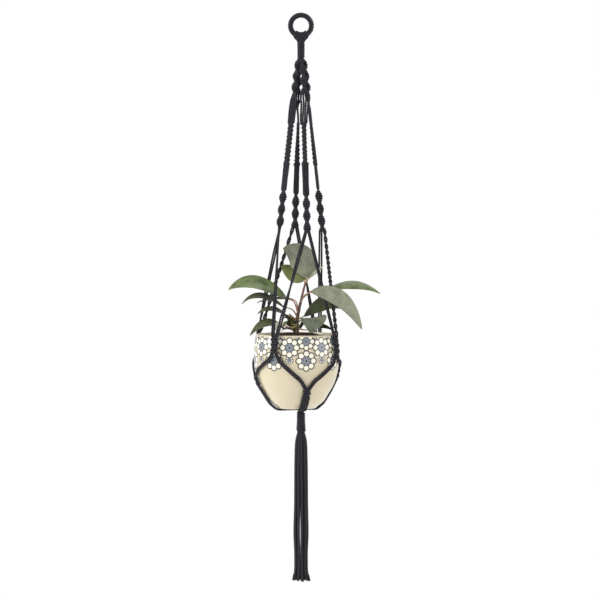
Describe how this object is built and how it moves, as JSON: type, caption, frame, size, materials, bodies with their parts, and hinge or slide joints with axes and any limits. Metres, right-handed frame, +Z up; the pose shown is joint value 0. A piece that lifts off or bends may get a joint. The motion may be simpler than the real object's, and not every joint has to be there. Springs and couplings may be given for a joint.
{
  "type": "hanging plant holder",
  "caption": "Knotted black cord hanger on a covered ring, with spiral and square-knot bands, a knotted cradle holding a flower-patterned round pot with a leafy plant, and a long tassel.",
  "frame": {"origin": "the lowest point of the ring's inner top, where the hook that carries the planter bears", "axes": "+Z up along the hanging cords, -Y to the front, +X to the right as seen from the front"},
  "size_m": [0.2799, 0.1621, 1.0431],
  "materials": {
    "cord": "matt three-ply cotton cord",
    "ring_metal": "plain wire",
    "pot_glaze": "cream glaze with a grey and white flower band",
    "potting_soil": "loose dark potting mix",
    "plant_stem": "reddish brown stem",
    "leaf": "thick satin leaf, paler underneath"
  },
  "bodies": {
    "ring": {"ring_hoop": "ring_metal", "ring_cover": "cord"},
    "neck": {"neck_loops": "cord", "neck_wrap": "cord"},
    "hanger": {"crown_spiral_front": "cord", "crown_spiral_right": "cord", "crown_spiral_back": "cord", "crown_spiral_left": "cord", "strap_front": "cord", "strap_right": "cord", "strap_back": "cord", "strap_left": "cord", "spiral_front": "cord", "spiral_right": "cord", "spiral_back": "cord", "spiral_left": "cord", "leg_front_front_left": "cord", "leg_front_front_right": "cord", "leg_right_front_right": "cord", "leg_right_back_right": "cord", "leg_back_back_right": "cord", "leg_back_back_left": "cord", "leg_left_back_left": "cord", "leg_left_front_left": "cord", "side_knot_front_left": "cord", "side_knot_front_right": "cord", "side_knot_back_right": "cord", "side_knot_back_left": "cord", "cradle_cord_front_left_front": "cord", "cradle_cord_front_left_left": "cord", "cradle_cord_front_right_right": "cord", "cradle_cord_front_right_front": "cord", "cradle_cord_back_right_back": "cord", "cradle_cord_back_right_right": "cord", "cradle_cord_back_left_left": "cord", "cradle_cord_back_left_back": "cord", "base_band_front": "cord", "base_band_right": "cord", "base_band_back": "cord", "base_band_left": "cord"},
    "pot": {"pot": "pot_glaze", "soil": "potting_soil", "plant_stem": "plant_stem", "leaf_top": "leaf", "leaf_top_lower": "leaf", "leaf_young": "leaf", "leaf_left_big": "leaf", "leaf_left_second": "leaf", "leaf_left_third": "leaf", "leaf_left_low": "leaf", "leaf_left_drop": "leaf", "leaf_right_arch": "leaf", "leaf_right_broad": "leaf", "leaf_right_dark": "leaf", "leaf_front_mid": "leaf", "leaf_right_low": "leaf", "leaf_small_front": "leaf", "leaf_small_back": "leaf"},
    "base": {"base_wrap": "cord"},
    "tassel": {"tassel": "cord"}
  },
  "joints": [
    {"name": "neck_swing", "type": "hinge", "parent": "ring", "child": "neck", "pos_m": [0, 0, -0.03335], "axis": [1, 0, 0], "range_deg": [-15, 15]},
    {"name": "hanger_twist", "type": "hinge", "parent": "neck", "child": "hanger", "pos_m": [0, 0, -0.0762], "axis": [0, 0, 1], "range_deg": [-20, 20], "stiffness_Nm_per_rad": 0.09},
    {"name": "pot_turn", "type": "hinge", "parent": "hanger", "child": "pot", "pos_m": [-0.008, 0, -0.648], "axis": [0, 0, 1], "range_deg": [-5, 5]},
    {"name": "base_swing", "type": "hinge", "parent": "hanger", "child": "base", "pos_m": [0, 0, -0.7187], "axis": [1, 0, 0], "range_deg": [-12, 12]},
    {"name": "tassel_sway", "type": "hinge", "parent": "base", "child": "tassel", "pos_m": [0, 0, -0.759], "axis": [0, 1, 0], "range_deg": [-15, 15]}
  ]
}
